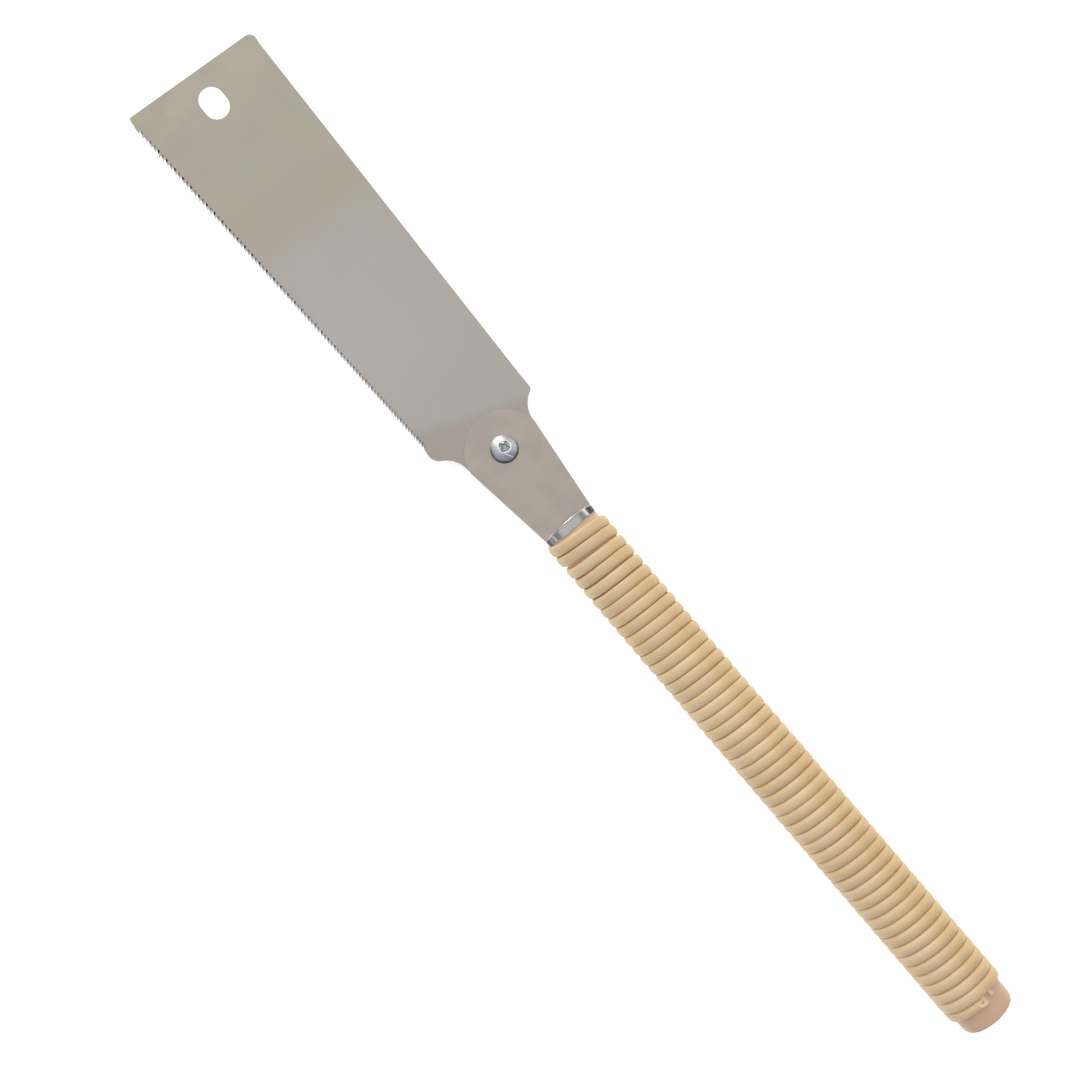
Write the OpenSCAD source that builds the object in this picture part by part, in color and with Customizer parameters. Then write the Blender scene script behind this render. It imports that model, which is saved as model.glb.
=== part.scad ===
// Flush cut pull saw: a thin toothed blade clamped in a riveted steel holder, on a handle
// of wood wound with one length of split cane.
// X runs from the blade's tip to the butt of the handle, Y to the blade's back edge,
// Z up to the head of the clamp screw. All lengths are millimetres.
// Everything is drawn about the clamp screw's axis and the blade's middle plane. The last
// step moves it so that the saw lies on Z = 0, centred on its outline.

/* [Blade] */
// thickness of the blade
blade_thickness = 0.6; // [0.4:0.1:1]
// from the screw to the toothed corner of the tip
toe_reach = 206.4; // [150:0.1:260]
// how much further the toothed corner reaches than the back corner
tip_slant = 5.2; // [0:0.1:12]
// half width of the blade at its tip
tip_half_width = 31.7; // [20:0.1:45]
// half width of the line of the back edge at the tip
back_tip_half_width = 31.4; // [20:0.1:45]
// half width of that line level with the screw
back_half_width = 24.4; // [15:0.1:40]
// how far the back corner at the tip swells out of the line of the back edge
tip_swell = 0.6; // [0:0.1:2]
// how far the corner above the heel swells out of that line
back_swell = 0.6; // [0:0.1:2]
// length over which each corner swells out
swell_run = 6; // [2:0.1:12]
// half width of the toothed edge at its last tooth
edge_half_width = 25.7; // [15:0.1:40]
// half width of the rounded heel
heel_half_width = 26.1; // [15:0.1:40]
// how far the toe's corner is drawn in from the line of the teeth
toe_draw = 1; // [0:0.1:3]
// radius of the back corner at the tip
tip_corner_radius = 3.3; // [1:0.1:8]
// radius of the toothed corner at the tip
toe_corner_radius = 0.8; // [0.2:0.1:3]
// radius of the back corner above the heel
back_corner_radius = 2; // [0.5:0.1:6]
// radius of the heel
heel_corner_radius = 5.5; // [1:0.1:8]
// radius of the hollows between the blade and the holder
scallop_radius = 12; // [6:0.1:20]
// from the screw to the middle of the hollow on the back
back_scallop_reach = 0.9; // [0:0.1:6]
// from the screw to the middle of the hollow behind the heel
heel_scallop_reach = 2.9; // [0:0.1:6]
// from the toothed corner of the tip back to the middle of the hanging slot
slot_margin = 18; // [10:0.1:40]
// from the screw's line to the middle of the slot, toward the blade's back
slot_side = 0.6; // [-5:0.1:5]
// length of the hanging slot
slot_length = 14.6; // [8:0.1:30]
// width of the hanging slot
slot_width = 10.8; // [6:0.1:20]

/* [Teeth] */
// mean distance from one tooth to the next
tooth_pitch = 2.118; // [1:0.001:4]
// from the toothed corner of the tip back to the first tooth
toe_margin = 7.4; // [2:0.1:20]
// from the last tooth back to the rounding of the heel
heel_margin = 3; // [2:0.1:20]
// depth of the gullets at the tip
first_tooth_depth = 1.2; // [0.8:0.1:3]
// depth of the gullets at the heel
last_tooth_depth = 1.1; // [0.6:0.1:3]
// flat left on the point of each tooth
tooth_land = 0.25; // [0.05:0.01:0.3]
// change of pitch along the row as a share of the mean pitch, coarse at the tip
pitch_share = 0.236; // [0:0.001:0.5]
// forward lean of the cutting face
tooth_rake = 9; // [0:1:20]
// slant of the file, left and right by turns
tooth_fleam = 16; // [0:1:30]

/* [Holder] */
// thickness of each holder plate
plate_thickness = 1.2; // [0.8:0.1:2]
// gap between the two plates
plate_gap = 0.7; // [0.5:0.1:1.2]
// from the screw forward to the end of the plates' round nose
nose_reach = 16.6; // [10:0.1:25]
// from the screw forward to the shoulders of the nose
shoulder_reach = 1.3; // [0:0.1:10]
// half width of the plates at the shoulders
shoulder_half_width = 17.25; // [10:0.1:24]
// half width of the plates at the ferrule
neck_half_width = 12.25; // [8:0.1:16]
// gap between the wide neck and the ferrule
neck_gap = 0.1; // [0.05:0.05:0.5]
// half width of the tang inside the handle
tang_half_width = 7; // [4:0.1:9]
// from the ferrule's rear edge to the end of the tang
tang_length = 64.1; // [40:0.1:100]
// how far the blade and the spacer stay inside the plates' edges
inlay_inset = 0.25; // [0.1:0.05:1]
// from the screw to the end of the blade's own tang
blade_tang_reach = 15; // [8:0.1:25]
// gap between the blade's tang and the spacer
stop_gap = 0.3; // [0.1:0.05:1]
// radius of the tang rivets
rivet_radius = 1.5; // [1:0.1:2.5]
// from the ferrule's rear edge to the first rivet
rivet_margin = 8.1; // [4:0.1:20]
// from the last rivet to the end of the tang
tang_margin = 4; // [2:0.1:10]
// number of rivets
rivet_count = 3; // [2:1:4]

/* [Clamp screw] */
// radius of the screw's shank
shank_radius = 2.5; // [1.5:0.1:4]
// radius of the low domed head
head_radius = 5.95; // [4:0.05:9]
// height of the head's straight rim
head_rim = 0.5; // [0.2:0.1:1]
// height of the dome above the rim
dome_height = 1.9; // [1:0.1:3]
// length of the cross recess
recess_length = 5.4; // [3:0.1:7]
// width of the cross recess
recess_width = 1.1; // [0.6:0.1:2]
// depth of the cross recess below the top of the dome
recess_depth = 1.5; // [0.8:0.1:2]
// gap under the head
head_gap = 0.03; // [0:0.01:0.1]
// gap round the shank in the plates and in the blade's slot
shank_gap = 0.3; // [0.1:0.05:0.6]
// running gap of the shank in the nut
thread_gap = 0.05; // [0.02:0.01:0.1]
// radius of the round nut
nut_radius = 4.6; // [3.5:0.1:7]
// height of the nut
nut_height = 3; // [2:0.1:5]
// length of the shank beyond the nut
shank_end = 0.8; // [0:0.1:3]

/* [Ferrule] */
// from the screw to the front of the ferrule
ferrule_reach = 39.4; // [30:0.1:50]
// length of the ferrule
ferrule_length = 4.5; // [3:0.1:10]
// wall of the ferrule
ferrule_wall = 0.8; // [0.5:0.1:1.5]
// how far the middle of the ferrule's front stands out toward the blade
ferrule_bow = 1.2; // [0.3:0.1:2]
// gap round the tang where it enters the ferrule and the handle
tang_gap = 0.2; // [0.1:0.05:0.5]

/* [Handle core] */
// from the screw to the butt
butt_reach = 310.9; // [240:0.1:360]
// half width of the core at the ferrule
core_front_half_width = 11.8; // [8:0.05:16]
// half width of the core at the butt
core_butt_half_width = 12.4; // [8:0.05:16]
// half height of the core
core_half_height = 8.75; // [6:0.05:14]
// radius of the core's narrow sides
core_side_radius = 7.6; // [4:0.1:9]
// radius that rounds the butt in plan
butt_plan_radius = 3.6; // [1:0.1:8]
// radius that rounds the butt from the side
butt_side_radius = 3; // [1:0.1:8]
// radius of the butt's shallow dome
butt_dome_radius = 60; // [30:1:200]
// play of the core inside the ferrule
ferrule_gap = 0.1; // [0.05:0.05:0.3]
// radius of the pins through the core and the tang
pin_radius = 1.6; // [1:0.1:2.5]
// how far the pins end below the core's surface
pin_inset = 0.4; // [0.1:0.1:2]
// gap round pins and rivets
fastener_gap = 0.05; // [0.02:0.01:0.1]
// turn of the handle and holder about the screw, toward the blade's back
handle_lean = 0.45; // [-2:0.05:2]

/* [Cane winding] */
// bare length of the core between the whole turns of cane and the butt
butt_bare = 10; // [8:0.1:30]
// part of a turn that the cane goes on after its last whole turn
end_share = 0.3; // [0.1:0.01:0.4]
// distance from one turn to the next
cane_pitch = 5.123; // [4:0.001:7]
// extra gap behind each of the loose turns near the ferrule
loose_gaps = [0.2, 0.6, 0.2, 0.5, 0.25]; // [0:0.05:1]
// how much further back the first turn lies at the toothed side than at the back
first_lean = 0.8; // [0:0.05:2]
// number of turns over which that extra lean fades
lean_turns = 4; // [1:1:10]
// part of a turn over which the cane narrows to its cut end
taper_share = 0.45; // [0.1:0.05:0.9]
// how much of its width the cane loses at its cut end
taper_loss = 0.4; // [0:0.05:0.6]
// width of the cane where it lies on the core
cane_width = 4.6; // [3:0.05:6]
// height of the cane's rounded back above its flat side
cane_height = 1.8; // [1:0.05:2.5]
// width of the crown of the rounded back
crown_width = 1.9; // [0.5:0.05:4]
// width of the cane at its shoulders
shoulder_width = 3.9; // [2:0.05:5]
// height of the shoulders
cane_shoulder = 1.2; // [0.4:0.05:2]
// gap between the core and the cane at the rings of the winding
cane_seat = 0.45; // [0.2:0.05:1]
// gap between the ferrule and the first turn, at the toothed side
cane_start_gap = 0.3; // [0.1:0.05:2]
// depth of the flat that the winding rests on
rest_depth = 0.5; // [0.2:0.1:1]
// rings for each turn, an odd number so that a ring on the crown faces a flat below
turn_rings = 15; // [9:2:23]
// length of the cane strip that locks the end of the winding
strip_length = 17; // [8:0.5:40]
// width of that strip
strip_width = 1.4; // [0.8:0.1:3]
// height of that strip
strip_height = 1.5; // [0.8:0.1:3]
// length of the strip's end that stands out past the winding
strip_show = 3; // [1:0.1:6]
// how far that end stands out of the core
strip_rise = 0.8; // [0.2:0.1:2]
// gap between the winding and the part of the strip that stands out
strip_gap = 0.85; // [0.3:0.05:3]
// from the middle of the handle to the strip, toward the blade's back
strip_side = 5.8; // [0:0.1:8]

/* [Hidden] */
$fn = 64;
half_blade = blade_thickness / 2;
half_gap = plate_gap / 2;
face_height = half_gap + plate_thickness;
ferrule_end = ferrule_reach + ferrule_length;
neck_reach = ferrule_reach - neck_gap;
// how far behind the screw the middle of the round nose lies
nose_set = (pow(shoulder_half_width, 2) + pow(shoulder_reach, 2) - pow(nose_reach, 2))
    / (2 * (nose_reach - shoulder_reach));
nose_radius = nose_reach + nose_set;
neck_angle = atan((shoulder_half_width - neck_half_width) / (neck_reach + shoulder_reach));
tang_reach = ferrule_end + tang_length;
rivet_reach = ferrule_end + rivet_margin;
rivet_spacing = (tang_reach - tang_margin - rivet_reach) / (rivet_count - 1);
back_reach = toe_reach - tip_slant;
slot_reach = toe_reach - slot_margin;
heel_scallop_middle = scallop_middle(heel_scallop_reach, -1);
back_line_slope = (back_tip_half_width - back_half_width) / back_reach;
heel_middle = corner_middle(heel_scallop_middle, heel_half_width, heel_corner_radius, -1);
first_tooth_reach = toe_reach - toe_margin;
last_tooth_reach = heel_margin - heel_middle.x;
tooth_run = first_tooth_reach - last_tooth_reach;
tooth_count = round(tooth_run / tooth_pitch);
edge_angle = atan((tip_half_width - edge_half_width) / tooth_run);
core_mean_half_width = (core_front_half_width + core_butt_half_width) / 2;
arch_radius = arch_of(core_mean_half_width, core_half_height, core_side_radius);
arch_drop = arch_radius - core_half_height;
core_length = butt_reach - ferrule_end;
core_flare = asin((core_butt_half_width - core_front_half_width) / core_length);
ferrule_half_width = core_front_half_width + cane_seat;
bow_radius = (pow(ferrule_half_width, 2) + pow(ferrule_bow, 2)) / (2 * ferrule_bow);
cane_reach = ferrule_end + cane_width / 2 + cane_start_gap;
loose_length = loose_gaps * [for (gap = loose_gaps) 1];
cane_room = butt_reach - butt_bare - cane_reach - loose_length;
whole_turns = floor(cane_room / cane_pitch);
cane_turns = whole_turns + end_share;
cane_end = cane_place(cane_turns);
cane_start_angle = 90 + 360 / turn_rings * round(turn_rings / 4);
strip_reach = cane_end - cane_pitch + cane_width / 2 + strip_gap + strip_show;
ring_sag = (arch_radius + cane_seat + cane_height) * (1 - cos(180 / turn_rings));
rest_height = core_half_height + cane_seat + cane_height - rest_depth - ring_sag;
middle = (butt_reach - toe_reach) / 2;
margin = nose_radius;

function unit(v) = v / norm(v);

// half the angle at corner b between the lines to a and to c
function half_corner(a, b, c) = acos(unit(a - b) * unit(c - b)) / 2;

// the point where a rounding of radius r leaves the line from corner b to a
function leave(a, b, c, r) = b + unit(a - b) * r / tan(half_corner(a, b, c));

// the middle of the rounding of radius r in corner b
function heart(a, b, c, r) = b + unit(unit(a - b) + unit(c - b)) * r / sin(half_corner(a, b, c));

// the half width of the plates at a distance x behind the screw
function neck_half(x) = shoulder_half_width - (x + shoulder_reach) * tan(neck_angle);

// the half width of the back edge's line at a distance x behind the screw
function back_line(x) = back_half_width - x * back_line_slope;

// the middle of a hollow that runs tangent into the inlaid tang; side is 1 at the back
function scallop_middle(reach, side) = [
    -reach,
    side * (neck_half(-reach) - inlay_inset + scallop_radius / cos(neck_angle))
];

// the middle of a corner of radius r that meets the hollow smoothly
function corner_middle(scallop, half_width, r, side) = [
    scallop.x - sqrt(pow(scallop_radius + r, 2) - pow(abs(scallop.y) - half_width + r, 2)),
    side * (half_width - r)
];

// radius of the wide arches of an oval with round sides
function arch_of(half_width, half_height, side_radius) =
    (pow(half_width - side_radius, 2) + pow(half_height, 2) - pow(side_radius, 2))
    / (2 * (half_height - side_radius));

// place of tooth i along the row, where the pitch falls evenly from the tip to the heel
function tooth_place(i) =
    tooth_run * i / tooth_count * (1 + pitch_share - pitch_share * i / tooth_count);

// depth of the gullet behind tooth i
function tooth_depth(i) =
    first_tooth_depth + (last_tooth_depth - first_tooth_depth) * i / tooth_count;

// moves what is drawn about the screw to its place in the shared frame
module place() {
    translate([-middle, 0, rest_height]) children();
}

// the same for the holder and the handle, which lean a little toward the blade's back
module place_handle() {
    place() rotate([0, 0, handle_lean]) children();
}

// a plate's outline raised from one height to another
module raise(low, high) {
    translate([0, 0, low]) linear_extrude(height = high - low) children();
}

// an oval lying along X: two round sides joined by two shallow arches
module oval(half_width, half_height, side_radius) {
    arch = arch_of(half_width, half_height, side_radius);
    drop = arch - half_height;
    side = half_width - side_radius;
    meet = side * arch / (arch - side_radius);
    translate([side, 0]) circle(r = side_radius);
    translate([-side, 0]) circle(r = side_radius);
    intersection() {
        translate([0, -drop]) circle(r = arch);
        translate([0, drop]) circle(r = arch);
        square([2 * meet, 2 * half_height], center = true);
    }
}

// an oval bar along X from one reach to another
module oval_bar(from, to, half_width, half_height, side_radius) {
    translate([from, 0, 0])
        rotate([90, 0, 90])
            linear_extrude(height = to - from) oval(half_width, half_height, side_radius);
}

// a block along X that takes the tang, with a gap all round
module tang_room(from, to) {
    translate([from, -tang_half_width - tang_gap, -face_height - tang_gap])
        cube([to - from, 2 * (tang_half_width + tang_gap), 2 * (face_height + tang_gap)]);
}

// the blade's outline before the teeth are filed
module blade_outline() {
    back_scallop = scallop_middle(back_scallop_reach, 1);
    heel_scallop = heel_scallop_middle;
    back_corner = corner_middle(back_scallop, back_line(back_scallop.x) + back_swell,
        back_corner_radius, 1);
    heel_corner = heel_middle;
    back_end = [back_corner.x, back_corner.y + back_corner_radius];
    heel_end = [heel_corner.x, heel_corner.y - heel_corner_radius];
    tip = [-back_reach, back_tip_half_width + tip_swell];
    tip_line = [swell_run - back_reach, back_line(swell_run - back_reach)];
    back_start = [back_end.x - swell_run, back_line(back_end.x - swell_run)];
    toe = [-toe_reach, -tip_half_width + toe_draw];
    land = [-first_tooth_reach, -tip_half_width];
    away = scallop_radius * [sin(neck_angle), cos(neck_angle)];
    tang_half = neck_half(blade_tang_reach) - inlay_inset;
    difference() {
        union() {
            polygon([
                leave(toe, tip, tip_line, tip_corner_radius),
                leave(tip, toe, land, toe_corner_radius),
                leave(land, toe, tip, toe_corner_radius),
                land,
                [-last_tooth_reach, -edge_half_width],
                heel_end,
                heel_corner,
                heel_scallop,
                heel_scallop + [-away.x, away.y],
                [blade_tang_reach, -tang_half],
                [blade_tang_reach, tang_half],
                back_scallop - away,
                back_scallop,
                back_corner,
                back_end,
                back_start,
                tip_line,
                leave(tip_line, tip, toe, tip_corner_radius)
            ]);
            translate(heart(tip_line, tip, toe, tip_corner_radius)) circle(r = tip_corner_radius);
            translate(heart(tip, toe, land, toe_corner_radius)) circle(r = toe_corner_radius);
        }
        translate(back_scallop) circle(r = scallop_radius);
        translate(heel_scallop) circle(r = scallop_radius);
        hanging_slot();
        screw_slot();
    }
    translate(back_corner) circle(r = back_corner_radius);
    translate(heel_corner) circle(r = heel_corner_radius);
}

module hanging_slot() {
    run = slot_length - slot_width;
    translate([-slot_reach, slot_side]) {
        translate([-run / 2, 0]) circle(d = slot_width);
        translate([run / 2, 0]) circle(d = slot_width);
        square([run, slot_width], center = true);
    }
}

// the slot in the blade's tang, open at the rear so that the blade slides out past the screw
module screw_slot() {
    radius = shank_radius + shank_gap;
    circle(r = radius);
    translate([0, -radius]) square([blade_tang_reach + margin, 2 * radius]);
}

// one stroke of the file behind tooth i: the cutting face faces the handle and leans back
// from the point, and the file is slanted to alternate sides
module gullet(i) {
    depth = tooth_depth(i);
    lean = depth * tan(tooth_rake) * cos(tooth_fleam);
    pitch = (tooth_place(i + 1) - tooth_place(i) - tooth_land) * cos(tooth_fleam);
    slant = i % 2 == 0 ? tooth_fleam : -tooth_fleam;
    translate([tooth_place(i), 0, 0])
        rotate([0, slant, 0])
            linear_extrude(height = 4 * blade_thickness, center = true)
                polygon([
                    [-lean, depth],
                    [lean, -depth],
                    [2 * pitch + lean, -depth]
                ]);
}

module saw_blade() {
    color("silver") place() difference() {
        raise(-half_blade, half_blade) blade_outline();
        translate([-first_tooth_reach, -tip_half_width, 0])
            rotate([0, 0, edge_angle])
                for (i = [0 : tooth_count - 1]) gullet(i);
    }
}

// the bowed front of the ferrule in plan, or a line that far inside or outside it
module bow(inward) {
    translate([ferrule_reach + bow_radius, 0]) circle(r = bow_radius - inward);
}

module plate_outline() {
    wide_end = ferrule_reach + ferrule_bow;
    intersection() {
        translate([nose_set, 0]) circle(r = nose_radius);
        translate([-nose_radius - margin, -nose_radius])
            square([nose_radius + margin - shoulder_reach, 2 * nose_radius]);
    }
    difference() {
        polygon([
            [-shoulder_reach, shoulder_half_width],
            [-shoulder_reach, -shoulder_half_width],
            [wide_end, -neck_half(wide_end)],
            [wide_end, neck_half(wide_end)]
        ]);
        bow(-neck_gap);
    }
    translate([0, -tang_half_width]) square([tang_reach, 2 * tang_half_width]);
}

module rivets(radius) {
    for (i = [0 : rivet_count - 1])
        translate([rivet_reach + i * rivet_spacing, 0]) circle(r = radius);
}

module pins(radius) {
    for (share = [0.5, 1.5]) translate([rivet_reach + share * rivet_spacing, 0]) circle(r = radius);
}

module plate(low, high) {
    raise(low, high) difference() {
        plate_outline();
        circle(r = shank_radius + shank_gap);
        rivets(rivet_radius + fastener_gap);
        pins(pin_radius + fastener_gap);
    }
}

module holder_front_plate() {
    color("darkgray") place_handle() plate(half_gap, face_height);
}

module holder_back_plate() {
    color("darkgray") place_handle() plate(-face_height, -half_gap);
}

// the strip between the plates that fills the room behind the blade's tang
module holder_spacer() {
    start = blade_tang_reach + stop_gap;
    color("gray") place_handle() raise(-half_gap, half_gap) difference() {
        polygon([
            [start, neck_half(start) - inlay_inset],
            [start, -neck_half(start) + inlay_inset],
            [neck_reach, -neck_half_width + inlay_inset],
            [neck_reach, -tang_half_width],
            [tang_reach, -tang_half_width],
            [tang_reach, tang_half_width],
            [neck_reach, tang_half_width],
            [neck_reach, neck_half_width - inlay_inset]
        ]);
        rivets(rivet_radius + fastener_gap);
        pins(pin_radius + fastener_gap);
    }
}

module holder_rivets() {
    color("dimgray") place_handle() raise(-face_height, face_height) rivets(rivet_radius);
}

module clamp_screw() {
    seat = face_height + head_gap;
    ball = (pow(head_radius, 2) + pow(dome_height, 2)) / (2 * dome_height);
    crown = seat + head_rim + dome_height;
    tail = face_height + nut_height + shank_end;
    color("lightgray") place_handle() {
        difference() {
            intersection() {
                translate([0, 0, crown - ball]) sphere(r = ball);
                translate([0, 0, seat]) cylinder(r = head_radius, h = crown);
            }
            for (turn = [0, 90])
                rotate([0, 0, turn])
                    translate([-recess_length / 2, -recess_width / 2, crown - recess_depth])
                        cube([recess_length, recess_width, 2 * recess_depth]);
        }
        translate([0, 0, -tail]) cylinder(r = shank_radius, h = tail + seat);
    }
}

// the round nut, staked to the back plate
module clamp_nut() {
    color("gray") place_handle() difference() {
        translate([0, 0, -face_height - nut_height]) cylinder(r = nut_radius, h = nut_height);
        translate([0, 0, -face_height - 2 * nut_height])
            cylinder(r = shank_radius + thread_gap, h = 3 * nut_height);
    }
}

// a shallow oval cap: its front wall has the slot for the tang
module ferrule() {
    inner = ferrule_half_width - ferrule_wall;
    color("gainsboro") place_handle() difference() {
        intersection() {
            oval_bar(ferrule_reach - margin, ferrule_end, ferrule_half_width,
                core_half_height + cane_seat, core_side_radius + cane_seat);
            raise(-margin, margin) bow(0);
        }
        intersection() {
            oval_bar(ferrule_reach - margin, ferrule_end + margin, inner,
                core_half_height + cane_seat - ferrule_wall,
                core_side_radius + cane_seat - ferrule_wall);
            raise(-margin, margin) bow(ferrule_wall);
        }
        tang_room(ferrule_reach - margin, ferrule_end);
    }
}

// one side of the core, turned out a little toward the butt and cut off at the middle
module core_side() {
    centre = (ferrule_end + butt_reach) / 2;
    difference() {
        translate([centre, 0, 0])
            rotate([0, 0, core_flare])
                translate([-centre, 0, 0])
                    oval_bar(ferrule_end - margin, butt_reach + margin, core_mean_half_width,
                        core_half_height, core_side_radius);
        translate([ferrule_end - 2 * margin, -2 * margin, -margin])
            cube([core_length + 4 * margin, 2 * margin, 2 * margin]);
        translate([ferrule_end - 2 * margin, -margin, -margin])
            cube([2 * margin, 3 * margin, 2 * margin]);
    }
}

// what the rounding takes off one corner of the butt: the corner block less a round bar
module butt_corner(half_width, radius) {
    translate([butt_reach - radius, half_width - radius]) difference() {
        square([radius + margin, radius + margin]);
        circle(r = radius);
    }
}

// what lies beyond the butt's shallow dome
module butt_end() {
    translate([butt_reach - butt_dome_radius, 0]) difference() {
        translate([butt_dome_radius - butt_plan_radius, -margin]) square([2 * margin, 2 * margin]);
        circle(r = butt_dome_radius);
    }
}

module handle_core() {
    tenon_width = ferrule_half_width - ferrule_wall - ferrule_gap;
    tenon_height = core_half_height + cane_seat - ferrule_wall - ferrule_gap;
    tenon_side = core_side_radius + cane_seat - ferrule_wall - ferrule_gap;
    color("rosybrown") place_handle() difference() {
        union() {
            core_side();
            mirror([0, 1, 0]) core_side();
            oval_bar(ferrule_reach + ferrule_bow + ferrule_wall + ferrule_gap, ferrule_end + margin,
                tenon_width, tenon_height, tenon_side);
        }
        raise(-margin, margin) butt_end();
        for (turn = [0, 180])
            rotate([turn, 0, 0]) {
                raise(-margin, margin) butt_corner(core_butt_half_width, butt_plan_radius);
                rotate([90, 0, 0])
                    raise(-margin, margin) butt_corner(core_half_height, butt_side_radius);
            }
        tang_room(ferrule_reach, tang_reach + tang_gap);
        raise(-margin, margin) pins(pin_radius + fastener_gap);
        strip_block(strip_reach - strip_length - fastener_gap, strip_reach + fastener_gap,
            strip_width + 2 * fastener_gap, strip_height + fastener_gap, margin);
    }
}

module handle_pins() {
    reach = core_half_height - pin_inset;
    color("dimgray") place_handle() raise(-reach, reach) pins(pin_radius);
}

// the point at angle a on the core's outline at a distance x behind the screw, h above the core
function on_core(a, x, h) =
    let (
        side = core_mean_half_width - core_side_radius,
        narrow = abs(cos(a)) > cos(atan2(arch_drop, side)),
        middle_y = core_half(x) - core_mean_half_width + (narrow ? side : 0),
        middle_z = narrow ? 0 : -sign(sin(a)) * arch_drop,
        reach = (narrow ? core_side_radius : arch_radius) + h
    )
    [sign(cos(a)) * middle_y + reach * cos(a), middle_z + reach * sin(a)];

// half the core's width at a distance x behind the screw
function core_half(x) = core_front_half_width
    + (core_butt_half_width - core_front_half_width) * (x - ferrule_end) / core_length;

// the cane's section: flat side down, round back up
cane_section = [
    [-cane_width / 2, 0],
    [-shoulder_width / 2, cane_shoulder],
    [-crown_width / 2, cane_height],
    [crown_width / 2, cane_height],
    [shoulder_width / 2, cane_shoulder],
    [cane_width / 2, 0]
];

// a value kept between 0 and 1
function part(v) = min(max(v, 0), 1);

// the cane's place along the handle after so many turns: each extra gap is made on the
// underside, and the first turns lean more, so that they gape at the toothed side
function cane_place(turn) =
    cane_reach + turn * cane_pitch
    + loose_gaps * [for (n = [0 : len(loose_gaps) - 1]) part(2 * (turn - n) - 1)]
    + first_lean / 2 * (1 - part(turn / lean_turns)) * (1 - cos(turn * 360));

// the six points of the ring at this turn: the cane climbs over the front face from the
// toothed side to the back, and each point below the rest plane is brought up to it
function cane_ring(turn) =
    let (
        a = cane_start_angle - turn * 360,
        x = cane_place(turn),
        keep = 1 - taper_loss * part((turn - cane_turns) / taper_share + 1)
    )
    [
        for (p = cane_section)
            let (q = on_core(a, x, cane_seat + p.y * sqrt(keep)))
            [x - cane_width / 2 + (p.x + cane_width / 2) * keep, q.x, max(q.y, -rest_height)]
    ];

module cane_wrap() {
    full_rings = ceil(cane_turns * turn_rings) - 1;
    rings = [for (k = [0 : full_rings]) cane_ring(k / turn_rings), cane_ring(cane_turns)];
    sides = len(cane_section);
    points = [for (ring = rings) for (p = ring) p];
    steps = len(rings) - 1;
    last = steps * sides;
    gaps = [
        for (k = [0 : steps - turn_rings - 1])
            for (near = [-1, 0, 1])
                norm(rings[k + turn_rings + near][0] - rings[k][sides - 1])
    ];
    echo(least_gap_between_turns = min(gaps));
    faces = [
        [for (j = [0 : sides - 1]) j],
        for (k = [0 : steps - 1])
            for (j = [0 : sides - 1])
                let (a = k * sides + j, b = k * sides + (j + 1) % sides)
                each [[a, a + sides, b], [b, a + sides, b + sides]],
        [for (j = [sides - 1 : -1 : 0]) last + j]
    ];
    color("burlywood") place_handle() polyhedron(points = points, faces = faces);
}

// a block let into the core along the handle, square to the core's surface: the last
// two sizes are how far it goes in and how far it stands out
module strip_block(from, to, width, depth, rise) {
    translate([from, 0, -arch_drop])
        rotate([-asin(strip_side / arch_radius), 0, 0])
            translate([0, -width / 2, arch_radius - depth])
                cube([to - from, width, depth + rise]);
}

module cane_tail() {
    color("wheat") place_handle() {
        strip_block(strip_reach - strip_length, strip_reach, strip_width, strip_height, 0);
        strip_block(strip_reach - strip_show, strip_reach, strip_width, strip_height, strip_rise);
    }
}

saw_blade();
holder_front_plate();
holder_back_plate();
holder_spacer();
holder_rivets();
clamp_screw();
clamp_nut();
ferrule();
handle_core();
handle_pins();
cane_wrap();
cane_tail();
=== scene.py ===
# %% [markdown]
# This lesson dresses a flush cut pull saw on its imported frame. The frame already holds the
# saw's exact solids and its joints. What is added here is what the eye sees: finer shapes,
# materials, light and a camera. All is in metres and in the frame's own axes: X runs from the
# blade's tip to the butt of the handle, Y to the blade's back edge, Z up to the screw's head.

# %% load the frame
import math
import random

import bmesh
import bpy
from mathutils import Matrix, Vector


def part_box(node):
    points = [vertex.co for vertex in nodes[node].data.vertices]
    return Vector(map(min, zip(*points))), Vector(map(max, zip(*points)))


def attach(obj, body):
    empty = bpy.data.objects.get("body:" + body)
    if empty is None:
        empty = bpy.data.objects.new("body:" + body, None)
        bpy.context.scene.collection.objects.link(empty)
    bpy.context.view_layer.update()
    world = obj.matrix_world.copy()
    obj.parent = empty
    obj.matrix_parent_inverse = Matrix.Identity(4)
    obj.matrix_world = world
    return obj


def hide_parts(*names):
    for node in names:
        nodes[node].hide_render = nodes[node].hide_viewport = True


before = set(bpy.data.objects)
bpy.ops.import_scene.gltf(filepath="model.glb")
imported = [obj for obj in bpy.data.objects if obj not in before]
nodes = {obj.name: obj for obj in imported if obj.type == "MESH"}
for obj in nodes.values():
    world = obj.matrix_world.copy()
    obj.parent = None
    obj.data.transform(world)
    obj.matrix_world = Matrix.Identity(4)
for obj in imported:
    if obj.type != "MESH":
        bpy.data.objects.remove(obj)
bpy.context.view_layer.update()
mm = 0.001

# %% [markdown]
# The clamp screw is a good origin, because the blade, the plates and the handle all meet on
# it. Its place could be typed in, but it is read from the frame, so that the dressing stays on
# the solids. The handle leans a little about that axis, as on the real saw, so its pieces are
# modelled straight and then turned together by one matrix.

# %% places taken from the frame
def centre(node):
    low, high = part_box(node)
    return (Vector(low) + Vector(high)) / 2


SCREW = centre("clamp_nut")
SCREW.z = centre("saw_blade").z
LEAN = math.radians(0.45)
HANDLE = Matrix.Translation(SCREW) @ Matrix.Rotation(LEAN, 4, "Z")
print("screw axis", [round(v, 5) for v in SCREW])

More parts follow.
